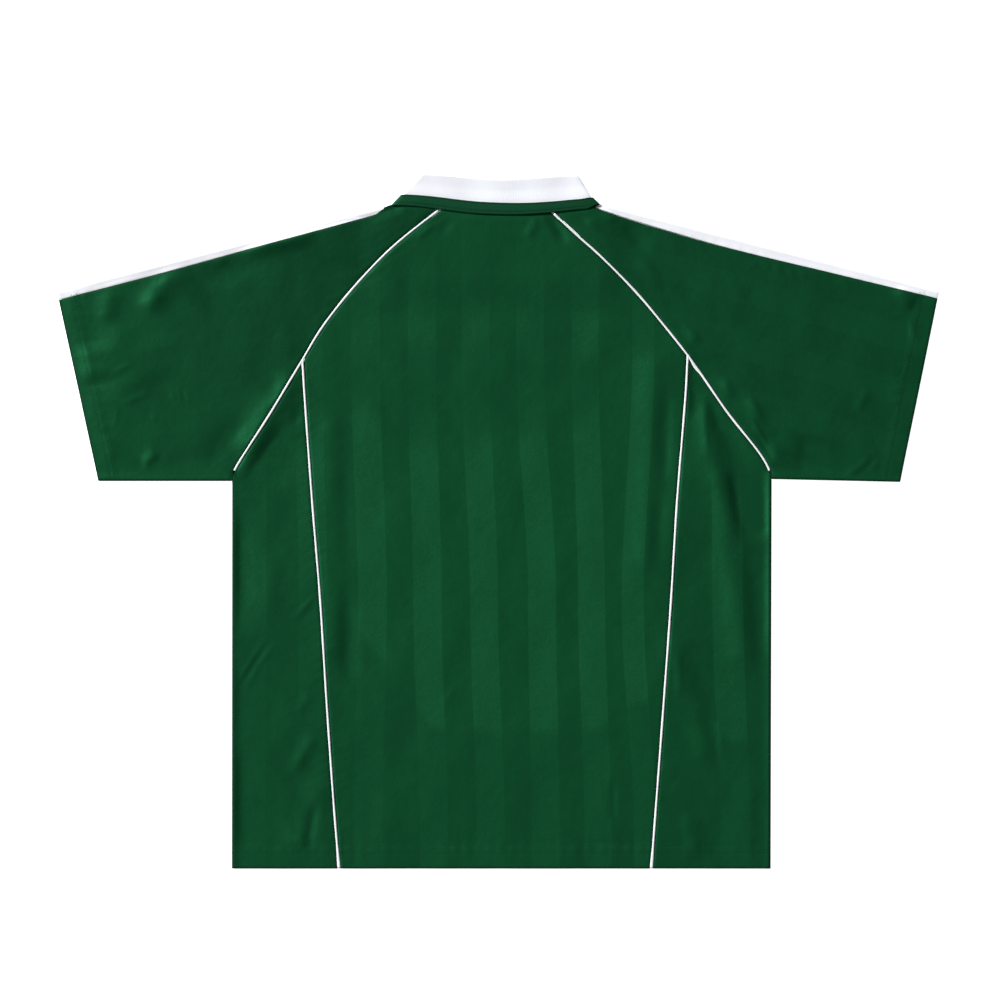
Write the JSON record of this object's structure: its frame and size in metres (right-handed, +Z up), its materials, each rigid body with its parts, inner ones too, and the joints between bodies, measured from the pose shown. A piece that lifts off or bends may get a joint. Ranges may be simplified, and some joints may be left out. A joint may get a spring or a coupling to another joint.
{
  "type": "football jersey laid out flat",
  "caption": "Short-sleeved football jersey laid flat, back up, with raglan sleeves, piped seams, side panels, arm bands and a turned-up collar.",
  "frame": {"origin": "middle of the jersey's footprint, on the surface it lies on", "axes": "+X across the jersey to the wearer's right, +Y from the hem to the collar, +Z up from the surface"},
  "size_m": [0.925, 0.7276, 0.0065],
  "materials": {
    "green_jersey_cloth": "satin polyester knit with tonal stripes",
    "white_jersey_cloth": "satin polyester knit",
    "white_piping": "smooth woven piping",
    "white_rib_knit": "fine flat rib knit"
  },
  "bodies": {
    "root": {"arm_band_left": "white_jersey_cloth", "arm_band_right": "white_jersey_cloth", "back_panel": "green_jersey_cloth", "collar": "white_rib_knit", "front_panel": "green_jersey_cloth", "neckband": "green_jersey_cloth", "raglan_piping_left": "white_piping", "raglan_piping_right": "white_piping", "side_panel_left": "green_jersey_cloth", "side_panel_right": "green_jersey_cloth", "side_piping_left": "white_piping", "side_piping_right": "white_piping", "sleeve_left": "green_jersey_cloth", "sleeve_right": "green_jersey_cloth"}
  },
  "joints": []
}
